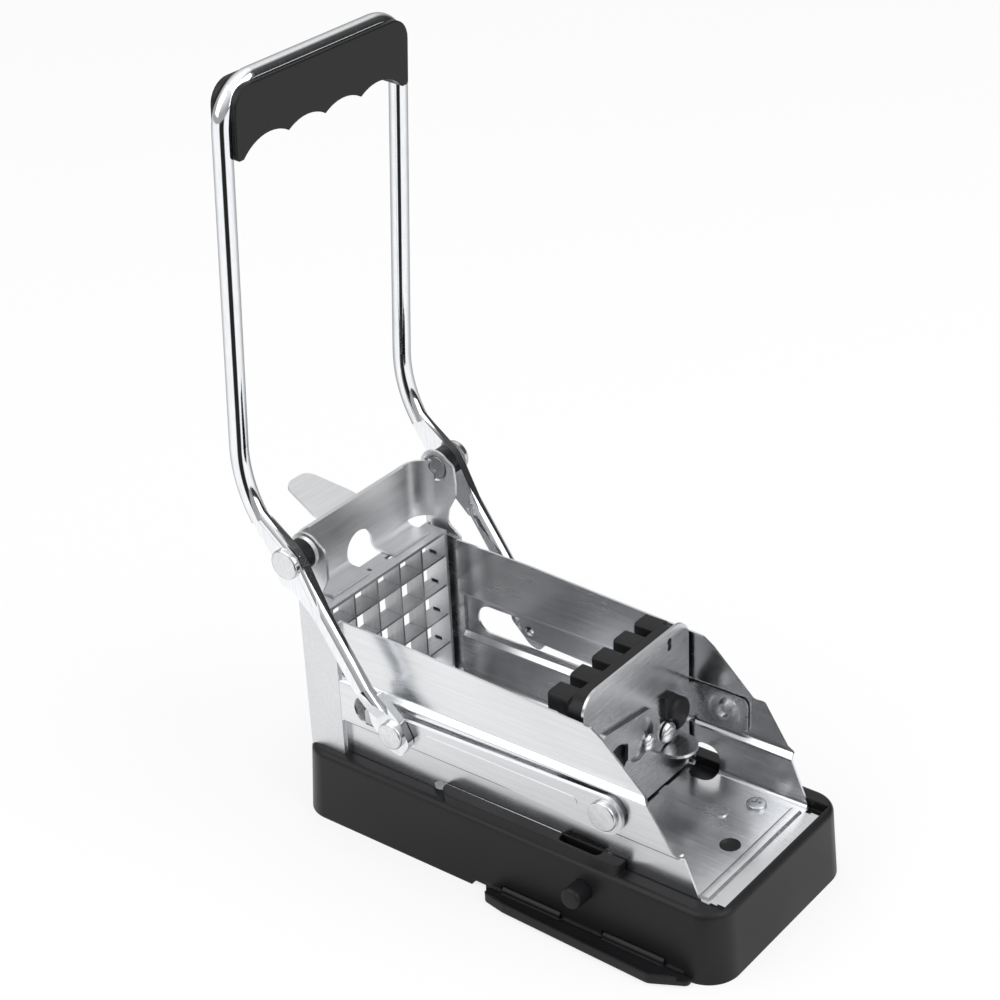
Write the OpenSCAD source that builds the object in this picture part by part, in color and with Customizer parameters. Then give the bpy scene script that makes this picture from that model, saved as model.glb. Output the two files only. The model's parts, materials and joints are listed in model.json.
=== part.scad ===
// French fry cutter. A looped handle swings forward over a slotted steel chamber and, through two link
// bars, draws a toothed pusher towards a grid of blades at the rear. The chamber stands on a plastic base
// with a lever-locked suction pad under it.
// Millimetres. Origin at the centre of the base's underside, +X towards the loading end, +Z up.

/* [Base] */
// Length of the base at the table
base_len = 184.8; // [180:0.2:200]
// How far the base stands out beyond the chamber's widest point, on each side
base_margin = 6; // [5.5:0.1:10]
// Height of the base's rim
base_h = 28; // [26:0.5:34]
// Corner radius of the base at the table
base_corner = 12.3; // [9:0.1:15]
// How far the base's walls lean in over its height
base_lean = 1.9; // [0.5:0.1:2.5]
// Wall of the base
base_wall = 2.4; // [2:0.1:2.8]
// Thickness of the deck under the chamber
deck_t = 2.6; // [2:0.1:4]
// Rounding of the rim's outer edge
rim_round = 2.6; // [1:0.1:3]
// Depth of the recess that the chamber sits in
recess_depth = 3.8; // [3:0.1:6]

/* [Blades] */
// Distance between blades, which is the width of a cut fry
pitch = 12.7; // [12:0.1:13.5]
// Number of cells along each side of the blade grid
cells = 5; // [4:1:5]
// Thickness of a blade
blade_t = 0.8; // [0.5:0.1:1]
// Depth of a blade along the cut
blade_depth = 8; // [7:0.5:9]
// Distance from the base's rear end to the blades' front edges
blade_setback = 14.9; // [14.5:0.1:16]
// Sheet of the blade cassette
cassette_t = 1.2; // [1:0.1:1.5]

/* [Chamber] */
// Thickness of the chamber's sheet steel
sheet = 0.8; // [0.6:0.1:1]
// Bend radius inside the chamber's lower corners
bend_r = 2; // [1:0.1:3]
// How far the slotted belt is pressed out of each wall
belt_out = 2.5; // [2.2:0.1:3]
// Height of the slotted belt
belt_h = 16; // [15.5:0.1:17]
// Height of the slot's centreline above the chamber's floor
slot_rise = 26.5; // [25:0.1:28]
// Width of the slot
slot_w = 11.7; // [11:0.1:12]
// Height of the blade cassette's top above the chamber's floor
wall_h = 62; // [61:0.5:64]
// How far the walls' upper edges lie below the cassette's top, at the rear
wall_drop = 3; // [1:0.1:4]
// Height of the walls above the floor, at their front peak
peak_h = 55.2; // [52:0.5:58]
// Distance from the base's front end back to the walls' foot
toe_back = 13; // [12:0.5:16]
// Distance from the base's front end back to the walls' front peak
peak_back = 56; // [52:0.5:60]
// Half-width of the front lip
lip_half = 30; // [26:0.5:30.5]

/* [Rear housing] */
// Thickness of the rear housing
housing_t = 1; // [0.8:0.1:1.2]
// Radius of the housing's upright rear corners
housing_r = 9; // [7:0.5:10]
// Height of the housing's rear web above the chamber's walls
web_rise = 25.7; // [24:0.1:28]
// Diameter of the notch in the middle of the web's lower edge
notch_d = 14; // [10:0.5:16]

/* [Handle] */
// Diameter of the handle's rod
rod_d = 6.7; // [6:0.1:7.5]
// Height of the main pivot above the chamber's walls
pivot_rise = 23.5; // [22:0.1:25]
// Distance from the base's rear end to the main pivot
pivot_setback = 10.1; // [9.5:0.1:11]
// Height of the handle's top bar above the main pivot
handle_rise = 168.9; // [150:0.1:190]
// How far the top bar lies behind the main pivot
handle_back = 11.3; // [8:0.1:14]
// Backward lean of the handle's legs, in degrees
leg_lean = 3.75; // [2:0.05:5]
// Distance between the legs' centrelines
handle_wid = 88; // [88:0.5:92]
// Centreline radius of the loop's top corners
corner_r = 14; // [11:0.5:16]
// Centreline radius of the bend above the pivot
bend_above = 46; // [35:1:50]
// Angle of the lever below the pivot, from straight down, in degrees
lever_angle = 33.5; // [31:0.5:36]
// Swing of the handle, in degrees
handle_swing = 91.2; // [85:0.1:92]
// Diameter of the pivot rivets' shanks
pivot_d = 6; // [5:0.1:6.5]

/* [Grip] */
// Height of the grip
grip_h = 24; // [22:0.5:30]
// Thickness of the grip
grip_t = 10.6; // [9.5:0.1:12]
// Half the width of the grip
grip_half = 43; // [42:0.1:43.5]
// Rounding of the grip's upper corners
grip_corner = 8; // [5:0.5:10]
// Number of finger scallops
scallops = 4; // [3:1:5]
// Height of the legs at the grip's ends below its scallops' cusps
grip_leg = 3; // [2:0.5:4]

/* [Links] */
// Distance between a link bar's pivots
link_len = 88; // [86:0.5:90]
// Width of a link bar at its front end
link_w = 14.8; // [12:0.1:15]
// Width of a link bar at its rear end
link_rear_w = 8.4; // [8:0.1:14]
// Thickness of a link bar
link_t = 1.5; // [1.2:0.1:1.8]
// Diameter of the link rivets' shanks
link_pin_d = 4; // [3.5:0.1:4.4]

/* [Pusher] */
// Length of the pusher's teeth
tooth_len = 8.7; // [8.2:0.1:10]
// Width of a tooth
tooth_w = 8.2; // [7:0.1:9]
// Height of a tooth
tooth_h = 7.4; // [6.5:0.1:8]
// Thickness of the slab that carries the teeth
slab_t = 6.3; // [5:0.1:8]
// Thickness of the pusher's steel plate
plate_t = 1; // [0.8:0.1:1.2]
// Length of the plate's runners in the slotted belts
runner_len = 22.3; // [21.5:0.1:25]

/* [Latch] */
// Thickness of the latch
latch_t = 1.2; // [0.8:0.1:1.4]
// Radius of the latch's thumb tab
tab_r = 7.3; // [6:0.1:7.6]
// Diameter of the latch's pivot pin
latch_pin_d = 4; // [3:0.1:4.5]

/* [Suction] */
// Diameter of the rubber pad
pad_d = 70; // [66:1:70]
// Length of the suction lever
paddle_len = 86; // [80:1:90]
// How far the suction lever reaches out from the base's wall
paddle_reach = 8.8; // [8:0.1:11]
// Diameter of the suction lever's axle
axle_d = 2.4; // [2:0.1:2.6]

/* [Hidden] */

$fn = 48;
touch = 0.05;       // gap between faces that slide on each other
run = 0.05;         // radial clearance of a running pin
seat_gap = 0.1;     // gap around pieces that are dropped into place
over = 1;           // how far a cut runs past a face

// Stations along X, from the base's ends
rear_x = -base_len / 2;
front_x = base_len / 2;
blade_x = rear_x + blade_setback;
blade_back_x = blade_x - blade_depth;
pivot_x = rear_x + pivot_setback;
web_x = rear_x + 1;                         // rear face of the housing's web
panel_rear_x = rear_x + 4.2;                // rear edge of the housing's side panels
panel_front_x = blade_x + 5.1;              // front edge of the housing's side panels

// Heights
floor_under_z = base_h - recess_depth;
floor_z = floor_under_z + sheet;
wall_top_z = floor_z + wall_h;
slot_z = floor_z + slot_rise;
belt_low_z = slot_z - belt_h / 2;
belt_high_z = slot_z + belt_h / 2;
web_top_z = wall_top_z + web_rise;
pivot_z = wall_top_z + pivot_rise;
deck_under_z = floor_under_z - deck_t;

// Half-widths
grid_half = cells * pitch / 2;
cassette_half = grid_half + cassette_t;
in_y = cassette_half + 0.25;                // inner face of the chamber's walls
wall_y = in_y + sheet;                      // outer face of the chamber's walls
belt_in_y = in_y + belt_out;
belt_y = belt_in_y + sheet;                 // outer face of the slotted belt and of the housing
lap_y = belt_y - housing_t;                 // outer face of the wall inside the housing
lap_in_y = lap_y - sheet;
base_half = belt_y + base_margin;
belt_slope = 1.5;                           // height of the step between a wall and its belt

// Slider and crank. The lever hangs from the pivot, the link bars run from its end to the slide rivets
lever_len = (pivot_z - slot_z) / cos(lever_angle);
function lever_end(turn) = [
    pivot_x + lever_len * sin(lever_angle - turn),
    pivot_z - lever_len * cos(lever_angle - turn)
];
function slide_x(turn) = let (e = lever_end(turn)) e[0] + sqrt(link_len * link_len - pow(e[1] - slot_z, 2));
lever_x = lever_end(0)[0];
slide_rest_x = slide_x(0);
slide_max_x = slide_x(handle_swing);
stroke = slide_rest_x - slide_max_x;

// Pusher at rest: at the full stroke its slab stops just short of the blades
slab_x = blade_x + 0.7 + stroke;
plate_x = slab_x + slab_t;
runner_x = plate_x + plate_t;
runner_y = belt_in_y - 0.5;                 // outer face of a runner
tooth_x = slab_x - tooth_len;

// Sides: the link bar, the lever's flat end and the handle's legs lie outside the belt, one after another
link_y = belt_y + 1.2;
link_out_y = link_y + link_t;
leg_y = handle_wid / 2;
lever_flat_t = 3;
lever_flat_y = link_out_y + 0.3;
pivot_flat_t = 3.3;
pivot_flat_y = leg_y - 2;
pivot_head_y = leg_y + 2.35;                // inner face of the pivot rivets' heads, over the flat's bead
boss_y = belt_y + 1.5;                      // outer face of the ear's pressed boss

// Feet of the moving parts in the base
axle_y = -(base_half - 1.5);
axle_z = 2.6;

function unit(v) = v / norm(v);
function spot(c, i) = let (p = c[(i + len(c)) % len(c)]) [p[0], p[1]];
// A corner's half angle, and the point that a circle of the given radius in that corner is centred on
function half_angle(c, i) =
    acos(unit(spot(c, i - 1) - spot(c, i)) * unit(spot(c, i + 1) - spot(c, i))) / 2;
function bisector(c, i) =
    unit(unit(spot(c, i - 1) - spot(c, i)) + unit(spot(c, i + 1) - spot(c, i))) / sin(half_angle(c, i));
// The outline's corners [x, y, r], each rounded to its radius r
function rounded(c, steps = 8) = [
    for (i = [0 : len(c) - 1])
        let (
            a = unit(spot(c, i - 1) - spot(c, i)),
            b = unit(spot(c, i + 1) - spot(c, i)),
            half = half_angle(c, i),
            turn = 180 - 2 * half,
            r = c[i][2]
        )
            for (k = [0 : r > 0 ? steps : 0])
                let (t = r > 0 ? k / steps : 0)
                    spot(c, i) + r * bisector(c, i)
                    + r * sin((1 - t) * turn) / sin(turn) * (a / tan(half) - bisector(c, i))
                    + r * sin(t * turn) / sin(turn) * (b / tan(half) - bisector(c, i))
];
// A convex outline moved inwards by d
function shrunk(c, d) = [
    for (i = [0 : len(c) - 1])
        let (p = spot(c, i) + d * bisector(c, i)) [p[0], p[1], max(c[i][2] - d, 0)]
];
function arc(mid, r, a0, a1, steps) = [for (k = [0 : steps]) let (a = a0 + (a1 - a0) * k / steps) mid + r * [cos(a), sin(a)]];
// An outline's points in reverse order, mirrored about its vertical axis
function mirrored(c) = [for (i = [len(c) - 1 : -1 : 0]) [-c[i][0], c[i][1], c[i][2]]];

module sides() {
    children();
    mirror([0, 1, 0]) children();
}
// An XZ outline extruded along Y
module across(y0, y1) {
    translate([0, y1, 0]) rotate([90, 0, 0]) linear_extrude(y1 - y0) children();
}
// A YZ outline extruded along X
module along(x0, x1) {
    translate([x0, 0, 0]) rotate([90, 0, 90]) linear_extrude(x1 - x0) children();
}
module pin_x(x0, x1, y, z, d) {
    translate([x0, y, z]) rotate([0, 90, 0]) cylinder(h = x1 - x0, d = d);
}
module pin_y(x, z, y0, y1, d) {
    translate([x, y1, z]) rotate([90, 0, 0]) cylinder(h = y1 - y0, d = d);
}
// A flat-headed rivet along Y with a rounded edge, from its head's inner face outwards
module head_y(x, z, y, h, d) {
    edge = h * 0.45;
    translate([x, y, z]) rotate([-90, 0, 0]) rotate_extrude()
        polygon(rounded([[0, 0, 0], [d / 2, 0, 0], [d / 2, h, edge], [0, h, 0]], 5));
}
module head_x(x, y, z, h, d) {
    edge = h * 0.45;
    translate([x, y, z]) rotate([0, 90, 0]) rotate_extrude()
        polygon(rounded([[0, 0, 0], [d / 2, 0, 0], [d / 2, h, edge], [0, h, 0]], 5));
}
// A round-ended slot in the XZ plane, cut along Y
module slot_y(x0, x1, z, w, y0, y1) {
    pin_y(x0, z, y0, y1, w);
    pin_y(x1, z, y0, y1, w);
    translate([x0, y0, z - w / 2]) cube([x1 - x0, y1 - y0, w]);
}
// A rod between two points
module rod(a, b, d) {
    v = b - a;
    translate(a) rotate([0, acos(v[2] / norm(v)), atan2(v[1], v[0])]) cylinder(h = norm(v), d = d);
}

// A rounded block whose walls lean in by `lean` and whose upper edge is rounded
module tub(l, w, r, h, lean, edge) {
    along(-(l / 2 - r), l / 2 - r)
        polygon(rounded([[-w / 2, 0, 0], [w / 2, 0, 0], [w / 2 - lean, h, edge], [-w / 2 + lean, h, edge]]));
    across(-(w / 2 - r), w / 2 - r)
        polygon(rounded([[-l / 2, 0, 0], [l / 2, 0, 0], [l / 2 - lean, h, edge], [-l / 2 + lean, h, edge]]));
    for (x = [-1, 1], y = [-1, 1])
        translate([x * (l / 2 - r), y * (w / 2 - r), 0]) rotate_extrude()
            polygon(rounded([[0, 0, 0], [r, 0, 0], [r - lean, h, edge], [0, h, 0]]));
}

// Screws through the chamber's floor: the front pair and the rear pair under the cassette's edge
screw_spots = [[front_x - 27.5, 24], [front_x - 27.5, -24], [rear_x + 8.5, 24], [rear_x + 8.5, -24]];
screw_d = 3;
screw_head_d = 7.4;
screw_head_h = 1.4;
screw_len = 11;
screw_boss_d = 8;
floor_hole_x = front_x - 23;
floor_hole_d = 7.5;

// The low step beside the near wall
step_x0 = slide_rest_x - 71.7;
step_x1 = slide_rest_x + 5.3;
step_y0 = wall_y + 0.3;
step_w = 5.2;
step_h = 4;
step_pocket_x0 = step_x1 - 26;
step_pocket_x1 = step_x1 - 9;

// The suction lever's axle rail, in the base's near wall
paddle_x0 = -4;
paddle_x1 = paddle_x0 + paddle_len;
rail_h = 6.4;
lift_way_h = 18;
rail_w = 4.4;
rail_in_y = -(base_half - 0.6) + rail_w;
window_z = 5.2;
window_len = 26;
windows = [paddle_x0 + 6, paddle_x1 - 37];
lift_x0 = -7;
lift_x1 = windows[0] + 14;
clamp_d = pad_d - 1;
clamp_t = 3;
pad_rim_t = 3;

// The peg that stops the suction lever
peg_x = (paddle_x0 + paddle_x1) / 2 - 2.5;
peg_z = 18;
peg_d = 8;
peg_out = 7.6;
peg_spigot_d = 4.5;

module base_tray() {
    hollow_h = deck_under_z + over;
    color("#1b1b1d")
    difference() {
        union() {
            difference() {
                tub(base_len, base_half * 2, base_corner, base_h, base_lean, rim_round);
                translate([0, 0, -over])
                    tub(base_len - 2 * base_wall, (base_half - base_wall) * 2, base_corner - base_wall,
                        hollow_h, base_lean * hollow_h / base_h, 1);
            }
            // Bosses under the screws
            for (p = screw_spots)
                translate([p[0], p[1], floor_under_z - screw_len]) cylinder(h = screw_len, d = screw_boss_d);
            // Ring that clamps the suction pad's rim
            translate([0, 0, pad_rim_t]) difference() {
                cylinder(h = deck_under_z - pad_rim_t + over, d = clamp_d);
                translate([0, 0, -over]) cylinder(h = deck_under_z - pad_rim_t + over, d = clamp_d - 2 * clamp_t);
            }
            // Stiffening ribs across the underside
            for (x = [rear_x + 24, front_x - 36])
                translate([x, -(base_half - base_wall), 8])
                    cube([2, 2 * (base_half - base_wall), deck_under_z - 8 + over]);
            // Rail that holds the suction lever's axle
            translate([paddle_x0 - 3, -(base_half - 0.6), 0]) cube([paddle_len - 2, rail_w, rail_h]);
            // Low step beside the near wall
            mirror([0, 1, 0]) translate([0, 0, floor_under_z]) linear_extrude(base_h - floor_under_z + step_h)
                polygon(rounded([
                    [step_x0, step_y0, 0], [step_x1, step_y0, 0], [step_x1, step_y0 + step_w, 2.2],
                    [step_x0, step_y0 + step_w, step_w - 0.4]
                ]));
        }
        // Recess for the chamber, deeper and wider where the rear housing stands in it
        translate([panel_front_x, -wall_y - seat_gap, floor_under_z])
            cube([front_x - 4.4 - panel_front_x, 2 * (wall_y + seat_gap), base_h]);
        translate([panel_rear_x - seat_gap, -belt_y - seat_gap, floor_under_z])
            cube([panel_front_x + seat_gap - panel_rear_x + seat_gap, 2 * (belt_y + seat_gap), base_h]);
        for (s = [-1, 1])
            translate([panel_rear_x - seat_gap, s * (lap_y + housing_t / 2) - housing_t / 2 - seat_gap,
                    floor_under_z - 1.3])
                cube([panel_front_x - panel_rear_x + 2 * seat_gap, housing_t + 2 * seat_gap, base_h]);
        // Way out for the fries over the rear rim
        translate([rear_x - over, -lip_half, floor_under_z]) cube([base_wall + 6, 2 * lip_half, base_h]);
        // Pilot holes for the screws
        for (p = screw_spots)
            translate([p[0], p[1], floor_under_z - screw_len + 1]) cylinder(h = screw_len, d = screw_d);
        // Pocket in the step
        mirror([0, 1, 0]) translate([step_pocket_x0, step_y0 - seat_gap, floor_z])
            linear_extrude(base_h) polygon(rounded([
                [0, 0, 0], [step_pocket_x1 - step_pocket_x0, 0, 0],
                [step_pocket_x1 - step_pocket_x0, step_w - 1.4, 2], [0, step_w - 1.4, 2]
            ]));
        // Windows for the suction lever's knuckles, the relief beside it and the axle's hole
        for (x = windows) {
            translate([x, -base_half - over, -over]) cube([window_len, 5.6, window_z + over]);
            translate([x, -(base_half - 2.4), -over]) cube([window_len, 6, rail_h + 4]);
        }
        translate([paddle_x0 - 7, -base_half - over, -over]) cube([6.2, base_wall + over, 2.2 + over]);
        pin_x(paddle_x0 - 2, paddle_x0 + paddle_len - 4, axle_y, axle_z, axle_d);
        // Way for the lift plate through the clamp ring
        translate([lift_x0 - 1, -pad_d / 2 - over, -over]) cube([lift_x1 - lift_x0 + 2, pad_d / 2, lift_way_h + over]);
        // Hole for the stop peg
        pin_y(peg_x, peg_z, -base_half - over, -base_half + base_wall + over * 3, peg_spigot_d);
    }
}

// Cross-section of the chamber's sheet, with its belts
function belted(top) = let (
    k = 0.3,
    inside = [
        [in_y, top, 0], [in_y, belt_high_z + belt_slope, 1], [belt_in_y, belt_high_z, 1],
        [belt_in_y, belt_low_z, 1], [in_y, belt_low_z - belt_slope, 1], [in_y, floor_z, bend_r]
    ],
    outside = [
        [wall_y, floor_under_z, bend_r + sheet], [wall_y, belt_low_z - belt_slope - k, 1],
        [belt_y, belt_low_z - k, 1], [belt_y, belt_high_z + k, 1],
        [wall_y, belt_high_z + belt_slope + k, 1], [wall_y, top, 0]
    ]
) concat(inside, mirrored(inside), mirrored(outside), outside);

// Cross-section of the plain stretch inside the rear housing
function plain(top) = let (
    inside = [[lap_in_y, top, 0], [lap_in_y, floor_z, bend_r]],
    outside = [[lap_y, floor_under_z, bend_r + sheet], [lap_y, top, 0]]
) concat(inside, mirrored(inside), mirrored(outside), outside);

// The end wall that closes the belts and joins both stretches, on one side
function end_wall(top) = [
    [in_y, floor_under_z + bend_r], [lap_y, floor_under_z + bend_r], [lap_y, belt_low_z - 0.3],
    [belt_y, belt_low_z - 0.3], [belt_y, belt_high_z + 0.3], [lap_y, belt_high_z + 0.3], [lap_y, top],
    [in_y, top], [in_y, belt_high_z + belt_slope], [lap_in_y, belt_high_z], [lap_in_y, belt_low_z],
    [in_y, belt_low_z - belt_slope]
];

slot_end_x0 = slide_max_x - 3.3;
slot_end_x1 = slide_rest_x + 0.4;
floor_rib_y = 13.3;
floor_rib_w = 4.6;
floor_rib_h = 0.5;
hem_x = front_x - 4.9;
foot_x0 = slide_rest_x - 11;
foot_x1 = slide_rest_x - 1;
foot_y = in_y - 7.3;
foot_h = 11;
cutout_x0 = step_x0 - 6;
cutout_x1 = step_x1 - 5;

module chassis() {
    top = wall_top_z - wall_drop;
    peak_z = floor_z + peak_h;
    toe_x = front_x - toe_back;
    color("#d6d7da")
    difference() {
        union() {
            intersection() {
                along(panel_front_x + seat_gap, hem_x) polygon(rounded(belted(top + over), 5));
                across(-base_half, base_half) polygon(rounded([
                    [panel_front_x - over, floor_under_z - over, 0], [hem_x + over, floor_under_z - over, 0],
                    [hem_x + over, floor_z, 0], [toe_x + 1, floor_z, 0],
                    [toe_x - 7, belt_low_z, 1.5], [toe_x - 9.6, belt_low_z + 1.5, 0],
                    [toe_x - 19, belt_high_z, 1.5], [toe_x - 22, belt_high_z + 2, 0],
                    [front_x - peak_back + 4.5, peak_z - 3, 1], [front_x - peak_back, peak_z, 2],
                    [blade_x + 39.5, top - 0.4, 30], [panel_front_x - over, top, 0]
                ]));
            }
            along(panel_rear_x + 2, panel_front_x + seat_gap) polygon(rounded(plain(top - 0.4), 5));
            sides() along(panel_front_x + seat_gap, panel_front_x + seat_gap + sheet)
                polygon(end_wall(top - 0.4));
            // Pressed ribs along the floor and the ridge behind the lip
            for (s = [-1, 1])
                translate([0, s * floor_rib_y, floor_z - 0.2]) linear_extrude(floor_rib_h + 0.2) {
                    translate([blade_x + 14, -floor_rib_w / 2])
                        square([front_x - 33 - floor_rib_w / 2 - blade_x - 14, floor_rib_w]);
                    translate([blade_x + 14, 0]) circle(d = floor_rib_w);
                    translate([front_x - 33 - floor_rib_w / 2, 0]) circle(d = floor_rib_w);
                }
            across(-lip_half + 1, lip_half - 1) polygon(rounded([
                [front_x - 17, floor_z - 0.2, 0], [front_x - 11.8, floor_z - 0.2, 0],
                [front_x - 13, floor_z + 0.8, 0.6], [front_x - 16, floor_z + 0.8, 0.6]
            ], 4));
            // Hem folded back over the lip's front edge
            translate([hem_x - 4, -lip_half, floor_z - 0.2]) cube([4, 2 * lip_half, sheet + 0.2]);
        }
        // Corners beside the lip
        for (s = [-1, 1])
            translate([toe_x + 1.5, s * (lip_half + 10) - 10, floor_under_z - over]) cube([30, 20, 6]);
        // Slots that the slide rivets run in
        sides() slot_y(slot_end_x0, slot_end_x1, slot_z, slot_w, in_y + 1, belt_y + over);
        // Holes in the floor
        for (p = screw_spots)
            translate([p[0], p[1], floor_under_z - over]) cylinder(h = 6, d = screw_d + 1);
        translate([floor_hole_x, 0, floor_under_z - over]) cylinder(h = 6, d = floor_hole_d);
        // Opening at the foot of the far wall
        for (x = [foot_x0 + 3.5, foot_x1 - 3.5])
            translate([x, foot_y + 3.5, floor_under_z - over]) cylinder(h = 6, d = 7);
        translate([foot_x0 + 3.5, foot_y, floor_under_z - over]) cube([foot_x1 - foot_x0 - 7, 5, 6]);
        across(foot_y + 3.5, wall_y + over) polygon(rounded([
            [foot_x0, floor_under_z - over, 0], [foot_x1, floor_under_z - over, 0],
            [foot_x1, floor_under_z + foot_h, 5], [foot_x0, floor_under_z + foot_h, 3]
        ]));
        // Cut-out over the base's step, at the foot of the near wall
        across(-wall_y - over, -in_y + bend_r + 0.5) polygon(rounded([
            [cutout_x0, floor_under_z - over, 0], [cutout_x1, floor_under_z - over, 0],
            [cutout_x1, base_h + step_h, 2], [cutout_x0, base_h + step_h, 4]
        ]));
    }
}

ear_r = 7;
tongue_half = belt_y - housing_r - 0.4;
web_bend_z = wall_top_z + 2.6;              // height at which the web turns forward into its tongues
tongue_x = blade_x - 2.6;
tongue_z = wall_top_z + 0.15;

module rear_housing() {
    corner_x = web_x + housing_r;
    color("#cdced1")
    difference() {
        union() {
            // Web with its upright rounded corners, open towards the front
            translate([0, 0, web_bend_z]) linear_extrude(web_top_z - web_bend_z) difference() {
                polygon(rounded([
                    [web_x, -belt_y, housing_r], [corner_x + 4, -belt_y, 0],
                    [corner_x + 4, belt_y, 0], [web_x, belt_y, housing_r]
                ], 10));
                polygon(rounded([
                    [web_x + housing_t, -lap_y, housing_r - housing_t], [corner_x + 5, -lap_y, 0],
                    [corner_x + 5, lap_y, 0], [web_x + housing_t, lap_y, housing_r - housing_t]
                ], 10));
            }
            // Hem along the web's upper edge
            translate([web_x + housing_t - 0.2, -(lap_y - housing_r), web_top_z - 5])
                cube([0.9, 2 * (lap_y - housing_r), 5]);
            // Web's lower edge, bent forward into the tongues over the cassette
            across(-tongue_half, tongue_half) polygon(rounded([
                [web_x, web_bend_z + over, 0], [web_x, tongue_z, 3.5], [tongue_x, tongue_z, 0],
                [tongue_x, tongue_z + housing_t, 0], [web_x + housing_t, tongue_z + housing_t, 2.5],
                [web_x + housing_t, web_bend_z + over, 0]
            ]));
            // Side panels, with the ears that carry the handle
            sides() {
                across(lap_y, belt_y) polygon(rounded([
                    [panel_rear_x, floor_under_z - 1.2, 0], [panel_front_x, floor_under_z - 1.2, 0],
                    [panel_front_x, wall_top_z - wall_drop, 1.5], [pivot_x + 4, wall_top_z + 1.5, 3],
                    [pivot_x + 5, wall_top_z + 7, 3], [pivot_x + 8.8, wall_top_z + 14, 5],
                    [pivot_x + 9, pivot_z - 4, 3], [pivot_x + 8.4, pivot_z + 2.6, 2.5],
                    [pivot_x + 3, pivot_z + 6.2, 0], [corner_x, web_top_z, 0],
                    [corner_x, web_bend_z + 1.5, 0], [panel_rear_x, web_bend_z + 1.5, 2]
                ]));
                pin_y(pivot_x, pivot_z, lap_y, belt_y, 2 * ear_r);
                // Boss pressed outwards around the pivot
                translate([pivot_x, lap_y, pivot_z]) rotate([-90, 0, 0])
                    cylinder(h = boss_y - lap_y, r1 = ear_r - 0.4, r2 = ear_r - 2.2);
            }
        }
        // Notch in the middle of the web's lower edge
        slot_x0 = web_x - over;
        along(slot_x0, tongue_x + over) {
            translate([0, web_bend_z + notch_d / 8]) circle(d = notch_d);
            translate([-notch_d / 2, tongue_z - over]) square([notch_d, web_bend_z + notch_d / 8 - tongue_z + over]);
        }
        sides() {
            pin_y(pivot_x, pivot_z, lap_y - over, boss_y + over, pivot_d);
            // Hollow back of the pressed boss
            translate([pivot_x, lap_y - touch, pivot_z]) rotate([-90, 0, 0])
                cylinder(h = boss_y - lap_y - housing_t + touch, r1 = ear_r - 1.6, r2 = ear_r - 3.2);
        }
    }
}

tab_z = wall_top_z + 12;
tab_flange_h = 5;
tab_half = 11;
tab_t = 1.2;
tab_lift = 16;
tab_len = 28;

// Thumb tab: a flange on the web's back and a tongue that rises to the rear
module thumb_tab() {
    color("#e2e2e3")
    translate([web_x, 0, tab_z]) {
        translate([-tab_t, -tab_half, 0]) cube([tab_t, 2 * tab_half, tab_flange_h]);
        translate([-tab_t, 0, tab_flange_h]) rotate([0, tab_lift, 0]) translate([0, 0, -tab_t])
            linear_extrude(tab_t) polygon(rounded([
                [tab_t, -tab_half, 0], [tab_t, tab_half, 0], [-tab_len * 0.35, tab_half - 0.6, 4],
                [-tab_len, tab_half - 5, 5], [-tab_len, -tab_half + 5, 5], [-tab_len * 0.35, -tab_half + 0.6, 4]
            ]));
    }
}

module floor_screws() {
    color("#c9cacc")
    for (p = screw_spots)
        translate([p[0], p[1], 0]) difference() {
            union() {
                translate([0, 0, floor_z]) rotate_extrude() polygon(rounded([
                    [0, 0, 0], [screw_head_d / 2, 0, 0], [screw_head_d / 2, screw_head_h, 0.9],
                    [0, screw_head_h, 0]
                ], 5));
                translate([0, 0, floor_under_z - screw_len + 1.5])
                    cylinder(h = screw_len - 1.5 + sheet, d = screw_d);
            }
            // Cross recess
            for (a = [0, 90])
                translate([0, 0, floor_z + screw_head_h]) rotate([0, 0, a + 20])
                    cube([3.4, 0.8, 1.4], center = true);
        }
}

module stop_peg() {
    wall = base_lean * peg_z / base_h;
    color("#232325") {
        translate([peg_x, -base_half + wall, peg_z]) rotate([90 - atan(base_lean / base_h), 0, 0]) rotate_extrude()
            polygon(rounded([[0, 0.1, 0], [peg_d / 2, 0.1, 0], [peg_d / 2, peg_out, 1.2], [0, peg_out, 0]], 5));
        pin_y(peg_x, peg_z, -base_half + wall - 0.2, -base_half + base_wall + 2.4, peg_spigot_d);
    }
}

cassette_x0 = blade_back_x - 1;
cassette_x1 = blade_x + 1;
cassette_top_z = wall_top_z;
blade_top_z = wall_top_z - 1.4;
comb_t = blade_t + 0.1;                     // width of the combs that the blades cross in
first_z = floor_z + pitch;                  // height of the lowest horizontal blade
tooth_row_top = 4.4;                        // how far the uppermost row of teeth sits below the cell's top

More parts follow.
